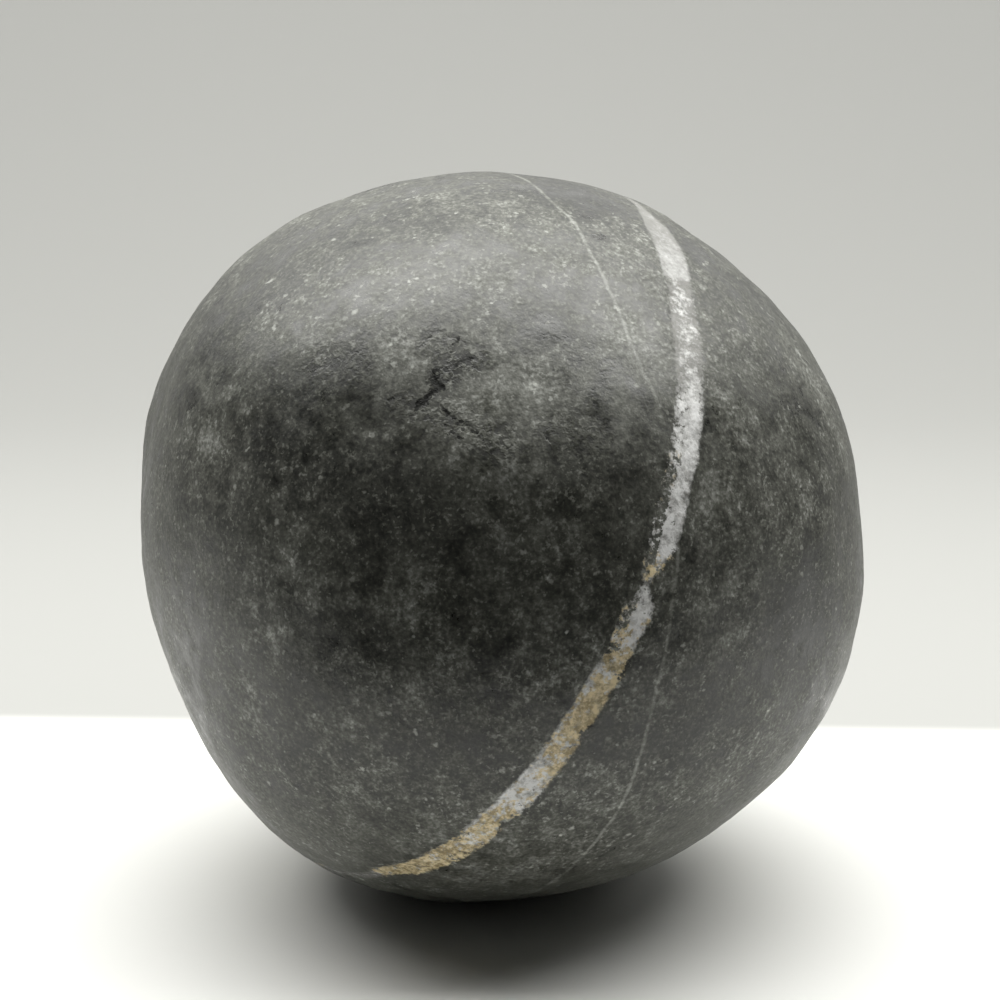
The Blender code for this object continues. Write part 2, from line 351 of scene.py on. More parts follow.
# Pale scuffs: (points, half width, strength)
SCUFFS = (
    (((-25.5, 15.9), (-26.0, 15.0), (-26.3, 13.9), (-26.0, 13.1), (-25.2, 12.3)), 0.42, 0.55),
    (((-28.7, 13.0), (-27.9, 10.8), (-27.2, 8.5), (-26.8, 7.4)), 0.26, 0.45),
    (((8.3, 27.4), (9.9, 27.5), (11.6, 28.4)), 0.24, 0.6),
    (((-21.2, 8.4), (-21.5, 7.7)), 0.2, 0.8),
    (((-22.2, -14.9), (-20.6, -16.7), (-19.2, -18.4), (-18.9, -19.5)), 0.28, 0.35),
)
# Chips where the weathered skin is bruised pale: (x, y, radius, strength)
CHIPS = (
    (-10.4, 8.4, 0.45, 0.8), (-10.8, 5.3, 0.25, 0.5), (-10.0, 5.5, 0.2, 0.5), (-3.4, 5.4, 0.5, 0.7), (1.4, 6.0, 0.2, 0.8),
    (4.0, 3.6, 0.25, 1.2), (-5.5, 10.3, 0.7, 0.6), (2.6, 10.6, 0.25, 1.0), (2.2, -1.4, 0.6, 0.7), (4.4, -3.7, 0.5, 0.7),
    (-8.5, -6.2, 0.6, 0.5), (-4.1, -6.4, 0.6, 0.4), (-13.2, -1.1, 0.25, 0.5), (-20.4, 22.6, 0.6, 0.9), (-12.1, 19.0, 0.6, 1.0),
    (-12.0, 20.6, 0.5, 0.6), (-7.6, 21.7, 0.3, 1.2), (-6.9, 22.1, 0.3, 1.2), (-5.9, 20.9, 0.3, 1.0), (-5.4, 19.9, 0.3, 0.9),
    (-8.4, 20.3, 0.25, 0.8), (-7.2, 20.0, 0.4, 0.8), (-0.5, 19.8, 0.3, 1.0), (-3.7, 28.7, 0.3, 1.0), (-5.6, 27.0, 0.3, 0.8),
    (-7.2, 26.2, 0.3, 0.8), (-19.3, 17.9, 0.6, 0.8), (-16.1, 15.4, 0.7, 0.6), (-8.6, 16.3, 0.8, 0.6), (-8.6, 14.3, 0.6, 0.9),
    (-0.4, 14.6, 0.6, 0.6), (-15.6, -15.3, 0.5, 0.9), (-13.6, -15.0, 0.3, 0.6), (-12.5, -15.0, 0.35, 0.7), (-11.6, -14.3, 0.3, 0.5),
    (-11.5, -16.5, 0.4, 0.5), (-11.6, -20.1, 0.4, 1.0), (-10.6, -18.8, 0.4, 0.5), (-8.6, -18.9, 0.3, 0.5), (-8.5, -19.6, 0.3, 0.5),
    (-6.9, -16.6, 0.5, 0.9), (-6.4, -15.5, 0.4, 0.6), (-7.6, -15.5, 0.4, 0.6), (-8.5, -13.5, 0.4, 0.6), (-8.4, -13.0, 0.3, 0.6),
    (-7.5, -12.8, 0.3, 0.6), (-8.8, -14.3, 0.3, 0.6), (-10.9, -12.6, 0.4, 0.6), (-23.8, -14.3, 0.3, 0.7), (-20.6, -14.7, 0.5, 0.5),
    (-17.2, -13.9, 0.25, 0.6), (-18.7, -19.0, 0.35, 0.6), (-17.2, -19.2, 0.2, 0.7), (-16.1, -19.1, 0.2, 0.7), (-13.5, -21.8, 0.4, 0.7),
    (-15.8, -21.7, 0.6, 0.4), (-14.9, -24.5, 0.3, 0.6), (-11.3, -25.7, 0.3, 0.6), (-16.2, -28.0, 0.6, 0.4), (-18.7, -9.4, 0.3, 0.5),
    (5.7, -8.0, 0.3, 1.6), (10.0, -12.6, 0.35, 0.7), (12.4, -9.5, 0.3, 0.5), (10.2, -17.6, 0.35, 0.7), (21.0, -10.0, 0.3, 0.9),
    (21.4, -7.6, 0.4, 0.6), (22.8, -9.0, 0.5, 0.4), (19.0, -9.9, 0.3, 0.5), (14.9, -12.2, 0.3, 0.5), (15.8, -10.2, 0.3, 0.5),
    (26.5, -9.8, 0.4, 0.5), (28.7, -13.5, 0.3, 0.5), (12.8, -19.7, 0.3, 0.8), (13.6, -19.5, 0.35, 0.9), (14.7, -19.4, 0.4, 0.5),
    (20.8, -19.9, 0.4, 0.7), (19.1, -18.6, 0.6, 0.4), (22.3, -16.6, 0.5, 0.4), (16.3, -23.0, 0.3, 0.7), (6.5, -25.6, 0.5, 0.9),
    (5.6, -26.3, 0.4, 0.8), (8.0, -26.0, 0.3, 0.6), (7.9, -22.2, 0.35, 0.6), (8.8, -19.6, 0.6, 0.5), (11.5, -28.0, 0.6, 0.5),
    (7.6, -16.3, 0.4, 0.6), (27.7, 16.8, 0.9, 0.7), (23.2, 16.5, 0.6, 0.4), (19.2, 15.2, 0.5, 0.5), (20.5, 14.2, 0.7, 0.4),
    (18.4, 13.4, 0.8, 0.5), (25.9, 11.5, 0.5, 0.8), (21.4, 9.8, 0.3, 0.8), (25.3, 9.2, 0.45, 0.6), (23.5, 6.5, 0.3, 0.8),
    (29.2, 5.2, 0.5, 0.7), (26.8, 4.2, 0.25, 1.0), (17.7, 6.0, 0.3, 0.7), (19.6, 1.9, 0.25, 0.7), (28.0, 1.8, 0.5, 0.5),
    (30.6, -0.5, 0.3, 0.5), (26.1, 19.8, 0.3, 0.6), (-17.5, 8.3, 0.3, 0.6), (-17.3, 5.4, 0.25, 0.9), (-16.6, 5.2, 0.22, 0.9),
    (-24.0, 4.3, 0.3, 0.5), (-26.9, 5.1, 0.25, 0.6), (-11.7, 4.5, 0.2, 0.7), (-19.6, 0.3, 0.25, 0.7), (-18.5, -0.6, 0.3, 0.6),
    (-14.8, 0.5, 0.22, 0.7), (-21.1, -2.3, 0.22, 0.7), (-19.6, -4.3, 0.25, 0.7), (-14.8, -4.8, 0.25, 0.7), (-25.3, -7.4, 0.35, 0.5),
    (-9.9, -23.5, 0.24, 0.9), (-9.4, -23.8, 0.26, 1.0), (-8.8, -23.9, 0.24, 0.9), (-6.1, -22.8, 0.26, 0.9), (-5.6, -22.6, 0.24, 0.8),
    (-5.3, -23.0, 0.24, 0.9), (-5.1, -23.5, 0.26, 0.8), (-5.9, -23.3, 0.24, 0.7), (-8.5, 2.4, 0.3, 0.6), (-9.6, 2.9, 0.2, 0.7), (-13.6, -7.5, 0.2, 0.6), (-30.7, 7.8, 0.6, 0.4),
)
# Short pale scratches: (two ends, half width, strength)
SCRATCHES = (
    (((-2.2, 1.9), (-1.3, 1.5)), 0.16, 0.7), (((1.2, -7.5), (1.9, -6.8)), 0.16, 0.6), (((-9.0, 5.6), (-7.7, 6.0)), 0.16, 0.5),
    (((2.8, 11.5), (3.4, 12.1)), 0.18, 0.8), (((-17.0, 19.0), (-14.8, 18.5)), 0.18, 0.7), (((-0.9, 15.3), (-1.1, 14.1)), 0.16, 0.7),
    (((-0.3, 15.5), (-0.3, 14.2)), 0.16, 0.6), (((-9.8, 30.5), (-6.1, 30.9)), 0.2, 0.7), 
    (((-6.8, -24.9), (-7.2, -25.4)), 0.3, 0.7), (((-17.6, -11.7), (-17.3, -12.1)), 0.25, 0.6),
    (((24.2, 21.4), (25.8, 19.9)), 0.2, 0.6), (((-21.6, 7.3), (-21.2, 7.6)), 0.22, 1.0), (((-16.0, -2.4), (-15.6, -2.1)), 0.28, 0.7),
    (((-17.2, -3.4), (-16.8, -2.5)), 0.26, 0.6), (((-27.8, 9.9), (-27.2, 8.9)), 0.16, 0.5),
)


def near_chips(p, spread=0.0):
    best = np.zeros(len(p))
    for x, y, radius, strength in CHIPS:
        away = np.linalg.norm(p - on_face(x, y), axis=1)
        best = np.maximum(best, strength * (1 - ease((away - spread) / radius, 0.2, 1.0)))
    return best


def near_line(p, line, half, taper=True):
    """1 on a line of face points to 0 at some way off it; the line thins out at its ends."""
    ends = np.array([on_face(x, y) for x, y in line])
    lengths = np.linalg.norm(np.diff(ends, axis=0), axis=1)
    total, gone = lengths.sum(), 0.0
    best = np.zeros(len(p))
    for a, b, length in zip(ends[:-1], ends[1:], lengths):
        t = np.clip((p - a) @ (b - a) / length**2, 0, 1)
        away = np.linalg.norm(p - a - t[:, None] * (b - a), axis=1)
        share = (gone + t * length) / total
        wide = half * (np.sqrt(np.clip(4 * share * (1 - share), 0.04, 1)) if taper else 1.0)
        best = np.maximum(best, 1 - ease(away / wide, 0.2, 1.7))
        gone += length
    return best


def near_lines(p, lines, taper=True):
    return np.max([strength * near_line(p, line, half, taper) for line, half, strength in lines], axis=0)


def dust_and_painted_light_tone(p):
    total = np.zeros(len(p))
    for x, y, radius, strength in DUST_AND_PAINTED_LIGHT_PATCHES:
        away = np.linalg.norm(p - on_face(x, y), axis=1)
        total += strength * np.exp(-0.5 * (away / radius) ** 2)
    return total


def ragged(p):
    """The same points, each moved a little, so that a line drawn through them wanders."""
    return p + 0.22 * np.stack([lumps(p, 1.1, s) for s in (31, 32, 33)], -1) + 0.12 * np.stack(
        [lumps(p, 0.5, s) for s in (34, 35, 36)], -1
    )


# ======================================================================================================
# The mesh: a rounded cube, one face to the front, finer along the vein and in the cracks
# ======================================================================================================
GRID = 100
MAP_MARGIN = 0.004


def cube_grid(n):
    """Unit directions of the grid on a cube, its quads, and each quad corner's place in the map.
    Left, front and right run on in the map's lower half; top, back and bottom, turned, in its upper half."""
    faces = (
        (0, 0, (1, -1), (2, 1), 0, 0),
        (1, 0, (0, 1), (2, 1), 1, 0),
        (0, 1, (1, 1), (2, 1), 2, 0),
        (2, 1, (1, 1), (0, -1), 0, 1),
        (1, 1, (2, -1), (0, -1), 1, 1),
        (2, 0, (1, -1), (0, -1), 2, 1),
    )
    i, j = np.meshgrid(np.arange(n), np.arange(n), indexing="ij")
    keys, places = [], []
    for axis, side, (across, way_across), (up, way_up), column, row in faces:
        for di, dj in ((0, 0), (1, 0), (1, 1), (0, 1)):
            a, u = i + di, j + dj
            p = np.zeros((n, n, 3), np.int64)
            p[..., axis] = side * n
            p[..., across] = a if way_across > 0 else n - a
            p[..., up] = u if way_up > 0 else n - u
            keys.append(((p[..., 0] * (n + 1) + p[..., 1]) * (n + 1) + p[..., 2]).ravel())
            x = MAP_MARGIN + (column + a / n) / 3 * (1 - 2 * MAP_MARGIN)
            y = row / 2 + MAP_MARGIN + u / n * (0.5 - 2 * MAP_MARGIN)
            places.append(np.stack((x, y), -1).reshape(-1, 2))
    quads = np.stack(keys).reshape(6, 4, -1).transpose(0, 2, 1).reshape(-1, 4)
    places = np.stack(places).reshape(6, 4, -1, 2).transpose(0, 2, 1, 3).reshape(-1, 2)
    unique, index = np.unique(quads, return_inverse=True)
    grid = np.stack((unique // (n + 1) ** 2, unique // (n + 1) % (n + 1), unique % (n + 1)), -1)
    cube = np.tan(grid / n * (math.pi / 2) - math.pi / 4)
    # The cube's x runs right, its y away from the face, its z up.
    d = cube[:, :1] * RIGHT - cube[:, 1:2] * OUTWARD + cube[:, 2:] * UP
    return d / np.linalg.norm(d, axis=1, keepdims=True), index.reshape(quads.shape), places


def main_vein(p):
    across, angle = MAIN.place(p)
    low, high, fill, rust, white = along(MAIN_STATIONS, angle)
    low = low + 0.08 * lumps(p, 1.6, 11) + 0.06 * lumps(p, 0.7, 12)
    high = high + 0.06 * lumps(p, 1.9, 13) + 0.05 * lumps(p, 0.7, 14)
    inside = np.minimum(across - low, high - across)
    return inside, across, fill, rust, white


def refined(bm, pick, cuts=1):
    """Halves the faces whose corners all satisfy pick."""
    bm.verts.ensure_lookup_table()
    p = np.array([v.co for v in bm.verts])
    d = p / np.linalg.norm(p, axis=1, keepdims=True)
    p = d * stone_radius(d)[:, None]
    chosen = pick(p)
    edges = [e for e in bm.edges if chosen[e.verts[0].index] and chosen[e.verts[1].index]]
    bmesh.ops.subdivide_edges(bm, edges=edges, cuts=cuts, use_grid_fill=True)
    bm.verts.index_update()


def build_skin():
    directions, quads, places = cube_grid(GRID)
    mesh = bpy.data.meshes.new("stone_skin")
    mesh.from_pydata(directions.tolist(), [], quads.tolist())
    mesh.uv_layers.new(name="OFBake").data.foreach_set("uv", places.astype(np.float32).ravel())
    bm = bmesh.new()
    bm.from_mesh(mesh)
    refined(bm, lambda p: main_vein(p)[0] > -0.7)
    refined(bm, lambda p: near_lines(p, [(line, 1.0, 1.0) for line, _, _ in CRACKS], False) > 0.02)
    refined(bm, lambda p: near_lines(p, [(line, 0.6, 1.0) for line, _, _ in CRACKS], False) > 0.02)
    refined(bm, lambda p: near_lines(p, [(line, 0.32, 1.0) for line, _, _ in CRACKS], False) > 0.02)
    marks = [(line, half + 0.35, 1.0) for line, half, _ in SCRATCHES]
    for _ in range(2):
        refined(bm, lambda p: np.maximum(near_chips(p, 0.3), near_lines(p, marks, False)) > 0.02)
    bm.to_mesh(mesh)
    bm.free()
    return mesh


def relief(p):
    """Millimetres that the weathered surface stands above the smooth one."""
    height = 0.20 * lumps(p, 17.0, 1) + 0.13 * lumps(p, 8.5, 2) + 0.065 * lumps(p, 4.2, 3)
    height += 0.034 * lumps(p, 2.3, 4) + 0.014 * lumps(p, 1.2, 5)
    for _, (start, end), spread, rise in SOFT_FORMS:
        a, b = on_face(*start), on_face(*end)
        t = np.clip((p - a) @ (b - a) / ((b - a) @ (b - a)), 0, 1)
        away = np.linalg.norm(p - a - t[:, None] * (b - a), axis=1)
        height += rise * np.exp(-0.5 * (away / spread) ** 2)
    inside, _, fill, _, _ = main_vein(p)
    body = ease(inside, -0.15, 0.35)
    height += body * (-0.05 - 0.05 * (1 - fill) + 0.022 * lumps(p, 0.8, 6) + 0.03 * lumps(p, 1.8, 7))
    grooves = [(line, 0.20, strength) for line, _, strength in CRACKS]
    height -= near_lines(ragged(p), grooves) * ease(lumps(p, 0.7, 41), -0.7, 0.5) * 0.08
    return height


skin = build_skin()
d = np.array([v.co for v in skin.vertices])
d /= np.linalg.norm(d, axis=1, keepdims=True)
smooth = d * stone_radius(d)[:, None]
reach = stone_radius(d) + relief(smooth)
# Underneath, the skin rounds over into the flat that the stone rests on.
flat = CORE_HEIGHT * 1e3 / np.maximum(-d[:, 2], 1e-6)
share = np.clip(0.5 + 0.5 * (flat - reach) / 0.12, 0, 1)
reach = flat * (1 - share) + reach * share - 0.12 * share * (1 - share)
points = d * reach[:, None]
skin.vertices.foreach_set("co", ((points + CORE_MM) * 1e-3).astype(np.float32).ravel())
skin.polygons.foreach_set("use_smooth", [True] * len(skin.polygons))
skin.update()
print("stone skin:", len(skin.vertices), "points,", sum(len(f.vertices) - 2 for f in skin.polygons), "triangles")


def give(name, *columns):
    data = np.stack([np.broadcast_to(c, (len(smooth),)) for c in columns], -1).astype(np.float32)
    skin.attributes.new(name, "FLOAT_VECTOR", "POINT").data.foreach_set("vector", data.ravel())


inside, across, fill, rust, white = main_vein(smooth)
hair_across, hair_angle = HAIR.place(smooth)
hair_middle, hair_strength = along(HAIR_STATIONS, hair_angle)
hair_across = hair_across - hair_middle - 0.10 * lumps(smooth, 3.0, 21) - 0.04 * lumps(smooth, 1.2, 22)
rough_place = ragged(smooth)
give("vein", np.clip(inside, -3, 3), np.clip(across, -4, 4), fill)
worn_left, worn_right = along(WORN_STATIONS, MAIN.place(smooth)[1])
give("vein_tone", rust, white, worn_right)
give("marks", near_chips(smooth + 0.6 * (rough_place - smooth)), near_lines(rough_place, SCRATCHES), near_lines(rough_place, SCUFFS))
give("hair", np.clip(hair_across, -3, 3), hair_strength, worn_left)
# The third value is the patches' tone: dustier or cleaner ground, and painted highlight and painted shade.
give("crack", near_lines(rough_place, CRACKS), near_lines(rough_place, BRUISES, False), dust_and_painted_light_tone(smooth + 2.5 * (rough_place - smooth)))

stone = bpy.data.objects.new("stone_body", skin)
scene.collection.objects.link(stone)


# ======================================================================================================
# Materials
# ======================================================================================================
class Nodes:
    """Short words for building a shader from nodes. A value is a number or another node's output."""

    def __init__(self, name):
        self.material = bpy.data.materials.new(name)
        self.material.use_nodes = True
        self.tree = self.material.node_tree
        self.shader = self.tree.nodes["Principled BSDF"]
        coordinates = self.tree.nodes.new("ShaderNodeTexCoord").outputs["Object"]
        self.place = self.vector("SCALE", coordinates, scale=1000.0)  # millimetres

    def put(self, socket, value):
        if isinstance(value, bpy.types.NodeSocket):
            self.tree.links.new(value, socket)
        else:
            socket.default_value = value

    def node(self, kind, *values, **settings):
        made = self.tree.nodes.new(kind)
        for key, value in settings.items():
            setattr(made, key, value)
        for socket, value in zip(made.inputs, values):
            if value is not None:
                self.put(socket, value)
        return made

    def vector(self, operation, a, b=None, scale=None):
        made = self.node("ShaderNodeVectorMath", a, b, operation=operation)
        if scale is not None:
            self.put(made.inputs["Scale"], scale)
        return made.outputs["Value"] if operation in ("LENGTH", "DOT_PRODUCT", "DISTANCE") else made.outputs["Vector"]

    def math(self, operation, a, b=None, c=None, clamp=False):
        return self.node("ShaderNodeMath", a, b, c, operation=operation, use_clamp=clamp).outputs[0]

    def add(self, *terms):
        total = terms[0]
        for term in terms[1:]:
            total = self.math("ADD", total, term)
        return total

    def times(self, *factors):
        total = factors[0]
        for factor in factors[1:]:
            total = self.math("MULTIPLY", total, factor)
        return total

    def ease(self, x, low, high, at_low=0.0, at_high=1.0):
        """Smoothly from at_low to at_high as x goes from low to high."""
        made = self.node("ShaderNodeMapRange", interpolation_type="SMOOTHSTEP")
        for name, value in (("Value", x), ("From Min", low), ("From Max", high), ("To Min", at_low), ("To Max", at_high)):
            self.put(made.inputs[name], value)
        return made.outputs["Result"]

    def blend(self, share, a, b):
        made = self.node("ShaderNodeMix", data_type="FLOAT", clamp_factor=True)
        self.put(made.inputs["Factor"], share)
        self.put(made.inputs["A"], a)
        self.put(made.inputs["B"], b)
        return made.outputs["Result"]

    def tint(self, share, a, b):
        made = self.node("ShaderNodeMix", data_type="RGBA", clamp_factor=True)
        self.put(made.inputs[0], share)
        self.put(made.inputs[6], a)
        self.put(made.inputs[7], b)
        return made.outputs[2]

    def noise(self, size, detail=0.0, rough=0.5, shift=0.0, warp=0.0, place=None):
        """Cloudy noise from 0 to 1, in lumps of about size mm."""
        where = self.place if place is None else place
        if shift:
            where = self.vector("ADD", where, (shift, shift * 1.7, -shift * 0.6))
        made = self.node("ShaderNodeTexNoise", noise_dimensions="3D", normalize=True)
        self.put(made.inputs["Vector"], where)
        for name, value in (("Scale", 1.0 / size), ("Detail", detail), ("Roughness", rough), ("Distortion", warp)):
            self.put(made.inputs[name], value)
        return made.outputs[0]

    def cells(self, size, shift=0.0, feature="F1", jitter=1.0):
        """Distance to the nearest of scattered points about size mm apart, in mm, and a random colour for that point."""
        where = self.vector("ADD", self.place, (shift, -shift * 1.3, shift * 0.7)) if shift else self.place
        made = self.node("ShaderNodeTexVoronoi", voronoi_dimensions="3D", feature=feature)
        self.put(made.inputs["Vector"], where)
        self.put(made.inputs["Scale"], 1.0 / size)
        self.put(made.inputs["Randomness"], jitter)
        return self.times(made.outputs["Distance"], size), made.outputs["Color"]

    def parts(self, colour):
        made = self.node("ShaderNodeSeparateColor", colour)
        return made.outputs[0], made.outputs[1], made.outputs[2]

    def read(self, name):
        made = self.node("ShaderNodeAttribute", attribute_name=name)
        apart = self.node("ShaderNodeSeparateXYZ", made.outputs["Vector"])
        return apart.outputs[0], apart.outputs[1], apart.outputs[2]


def grey(value, warmth=0.93):
    return (value, value * 1.005, value * warmth, 1.0)


n = Nodes("stone_rock")
vein_in, vein_across, vein_fill = n.read("vein")
rust, whiteness, worn_right = n.read("vein_tone")
chipped, scratched, scuffed = n.read("marks")
hair_across, hair_shows, worn_left = n.read("hair")
cracked, bruised, dust_and_painted_light = n.read("crack")


def swing(noise, amount):
    """Noise as a number about zero."""
    return n.math("MULTIPLY_ADD", noise, amount, -0.5 * amount)


# ---- the rock: near-black and fine grained, mottled at every scale
wide = n.noise(7.5, 2.0, 0.65, shift=3.0)
mottle = n.noise(1.3, 3.0, 0.8, shift=17.0)
where = n.noise(4.6, 3.0, 0.6, shift=61.0)
dust_grain = n.noise(0.38, 1.5, 0.6, shift=73.0)
splotch = n.noise(0.95, 3.0, 0.65, shift=47.0)
blotch = n.noise(2.4, 1.5, 0.6, shift=38.0)
dusty = n.ease(n.math("MULTIPLY_ADD", dust_and_painted_light, 0.16, where), 0.36, 0.66)
height_above = n.node("ShaderNodeSeparateXYZ", n.place).outputs[2]
variety = n.times(
    n.ease(height_above, 44.0, 24.0, 0.90, 1.45), n.ease(height_above, 23.0, 9.0, 1.0, 0.52), n.ease(height_above, 52.0, 62.0, 1.0, 1.35)
)
# The patches make the rock paler or darker: partly dust, partly painted highlight and painted shade.
tone = n.times(
    0.0532,
    n.math(
        "POWER",
        2.72,
        n.add(n.times(n.add(swing(wide, 1.9), swing(blotch, 2.1), swing(mottle, 3.2), swing(dust_grain, 2.6)), variety), n.times(dust_and_painted_light, 0.42)),
    ),
)

# ---- pale marks: small chips, thicker in some clouds; soft clumps; single peck marks; those placed one by one
chip_noise = n.noise(0.50, 2.0, 0.6, shift=29.0)
chip_least = n.blend(dusty, 0.67, 0.575)
speck = n.ease(chip_noise, chip_least, n.add(chip_least, 0.14))
clump = n.times(n.ease(splotch, n.blend(dusty, 0.69, 0.56), n.blend(dusty, 0.84, 0.72)), n.ease(dust_grain, 0.32, 0.60, 0.15, 1.0))
peck_away, peck_colour = n.cells(1.9, shift=5.0)
peck_r, peck_g, peck_b = n.parts(peck_colour)
peck = n.times(
    n.ease(n.add(peck_away, swing(dust_grain, 0.7), swing(splotch, 0.3)), n.blend(peck_g, 0.14, 0.36), n.blend(peck_g, 0.0, 0.10)),
    n.ease(peck_r, 0.30, 0.95),
)
# Fine pale crumbs, in loose drifts.
crumb_noise = n.noise(0.34, 1.0, 0.5, shift=111.0)
crumbs = n.times(
    n.ease(crumb_noise, 0.57, 0.68), n.ease(n.add(splotch, swing(mottle, 0.6)), 0.38, 0.62, 0.30, 1.0), n.ease(dust_and_painted_light, 0.1, -0.9, 1.0, 1.3), n.ease(blotch, 0.38, 0.58, 0.5, 1.2)
)
chip = n.times(
    n.math("MAXIMUM", chipped, scratched),
    n.ease(n.add(n.times(n.math("MAXIMUM", chipped, scratched), 0.9), swing(dust_grain, 1.8), swing(chip_noise, 1.0)), 0.22, 0.75),
)

# ---- the wide vein
# Its middle is solid; where a side is worn it breaks up into crumbs with dark rock between them.
fill_noise = n.noise(0.50, 3.0, 0.7, shift=91.0)
solid = n.ease(vein_fill, 0.96, 1.04)
crumbly = n.blend(solid, 1.0, 0.35)
wandering = n.add(vein_across, swing(splotch, 1.2))
worn_here = n.math(
    "MAXIMUM", n.times(worn_left, n.ease(wandering, 0.0, 0.55)), n.times(worn_right, n.ease(wandering, -0.50, -1.0))
)
worn_side = n.blend(n.ease(vein_across, -0.4, 0.4), worn_right, worn_left)
edge_noise = n.times(
    n.add(swing(dust_grain, 0.5), swing(fill_noise, 1.4), swing(splotch, 0.5)), crumbly, n.math("MULTIPLY_ADD", worn_side, 0.75, 0.30)
)
vein_body = n.ease(n.add(vein_in, edge_noise), -0.06, 0.30)
hole = n.times(n.ease(n.math("MULTIPLY_ADD", worn_side, 0.05, chip_noise), 0.66, 0.72), crumbly)
fill_value = n.add(n.times(vein_fill, 1.12), swing(fill_noise, 1.7), swing(dust_grain, 0.9), n.times(worn_here, -0.50), n.times(hole, -0.6))
filled = n.ease(fill_value, 0.36, 0.68)
vein_mask = n.times(vein_body, filled)
thin = n.ease(n.add(vein_in, swing(splotch, 0.9)), 0.75, 0.0)  # the calcite is greyer where it thins out
milk = n.ease(
    n.add(n.times(whiteness, 0.8), n.times(n.add(swing(mottle, 2.2), swing(fill_noise, 1.5)), crumbly), n.times(worn_here, -0.08), n.times(thin, crumbly, -0.34), 0.06),
    0.0,
    1.0,
)
pale_side = n.ease(n.add(vein_across, swing(splotch, 1.0)), 0.45, 0.95)
rusty = n.ease(
    n.add(
        rust,
        n.times(n.add(swing(splotch, 2.2), swing(dust_grain, 1.3)), n.ease(rust, 0.0, 0.25, 0.25, 1.0)),
        n.times(worn_here, n.ease(rust, 0.0, 0.10), 0.22),
        n.times(pale_side, rust, -0.55),
    ),
    0.32,
    0.72,
)
calcite = n.tint(milk, (0.20, 0.198, 0.188, 1.0), (0.80, 0.80, 0.80, 1.0))
iron = n.tint(n.ease(n.add(mottle, swing(fill_noise, 0.8)), 0.34, 0.66), (0.34, 0.26, 0.125, 1.0), (0.77, 0.64, 0.385, 1.0))
vein_colour = n.tint(n.times(rusty, 0.92), calcite, iron)
stain = n.times(n.ease(n.noise(0.75, 2.5, 0.65, shift=133.0), 0.50, 0.66), crumbly)
vein_colour = n.tint(n.times(stain, 0.36), vein_colour, (0.12, 0.115, 0.095, 1.0))

# ---- the hairline
hair_line = n.times(
    n.ease(n.math("ABSOLUTE", n.add(hair_across, swing(splotch, 0.22))), 0.27, 0.03),
    hair_shows,
    n.ease(mottle, 0.36, 0.58, 0.30, 1.0),
)

# ---- cracks: further down, their colour is darkened as painted shade
crack = n.ease(n.add(cracked, swing(chip_noise, 2.2), swing(dust_grain, 2.4)), 0.30, 1.10)
crack = n.times(crack, n.ease(cracked, 0.0, 0.25))

pale = n.add(
    n.times(speck, 0.13),
    n.times(chip, 0.25),
    n.times(clump, 0.16),
    n.times(peck, 0.22),
    n.times(scuffed, n.ease(splotch, 0.35, 0.60, 0.35, 1.0), 0.13),
    n.times(hair_line, 0.13),
)
residue = n.times(n.ease(n.add(vein_in, edge_noise), 0.0, 0.25), n.ease(n.add(worn_here, swing(dust_grain, 0.8)), 0.0, 0.9), 0.055)
# Chips and chalky dust show more towards the lower part.
tone = n.add(
    n.times(tone, 0.955),
    n.times(pale, n.ease(height_above, 46.0, 22.0, 0.85, 1.35), n.ease(height_above, 23.0, 9.0, 1.0, 0.52), n.ease(height_above, 52.0, 62.0, 1.0, 1.25)),
    n.times(crumbs, n.ease(height_above, 23.0, 9.0, 0.078, 0.012), n.ease(height_above, 52.0, 46.0, 0.5, 1.0)),
    residue,
)
bruise = n.times(bruised, n.ease(n.add(splotch, swing(dust_grain, 0.9)), 0.62, 0.38))
# Painted shade: the cracks' colour is darkened to 6 percent for the shade in their hollows; the bruised ground round
# them is darker rock.
tone = n.times(tone, n.blend(crack, 1.0, 0.06), n.math("MULTIPLY_ADD", bruise, -0.75, 1.0))
# Painted light: towards the flat the rock is lightened, up to about twice as bright, for light bounced up from the
# white floor under the stone.
painted_underlight = n.ease(height_above, 23.0, 4.0)
tone = n.math("MAXIMUM", n.times(tone, n.math("MULTIPLY_ADD", painted_underlight, 1.1, 1.0)), 0.005)
rock = n.node(
    "ShaderNodeCombineColor", n.times(tone, 0.985), n.times(tone, 1.005), n.times(tone, n.add(n.ease(tone, 0.05, 0.22, 0.845, 0.925), n.ease(tone, 0.048, 0.018, 0.0, 0.055)))
).outputs[0]
n.put(n.shader.inputs["Base Color"], n.tint(vein_mask, rock, vein_colour))

# ---- gloss: worn smooth, matt where it is pecked, in the vein and in the cracks
gloss = n.add(
    0.45,
    swing(wide, 0.28),
    swing(blotch, 0.40),
    n.times(n.add(swing(blotch, 0.30), swing(wide, 0.20)), n.ease(height_above, 44.0, 54.0)),
    swing(mottle, 0.52),
    n.times(n.math("MAXIMUM", peck, clump), 0.14),
    n.times(bruise, 0.40),
    n.times(crack, 0.55),
    n.times(vein_mask, 0.16),
)
n.put(n.shader.inputs["Roughness"], n.math("MAXIMUM", n.math("MINIMUM", gloss, 0.95), 0.26))

# ---- fine relief, in mm
height = n.add(
    n.times(mottle, 0.055),
    n.times(dust_grain, 0.016),
    n.times(n.ease(vein_in, -0.05, 0.25), n.add(n.times(fill_noise, 0.045), -0.02)),
    n.times(crack, n.add(n.times(chip_noise, 0.14), n.times(dust_grain, 0.10), -0.17)),
    n.times(bruise, -0.035),
)
bump = n.node("ShaderNodeBump")
bump.inputs["Strength"].default_value = 1.0
bump.inputs["Distance"].default_value = 0.001
n.put(bump.inputs["Height"], height)
n.put(n.shader.inputs["Normal"], bump.outputs["Normal"])
n.shader.inputs["IOR"].default_value = 1.5

skin.materials.append(n.material)
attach(stone, "root")
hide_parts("stone")

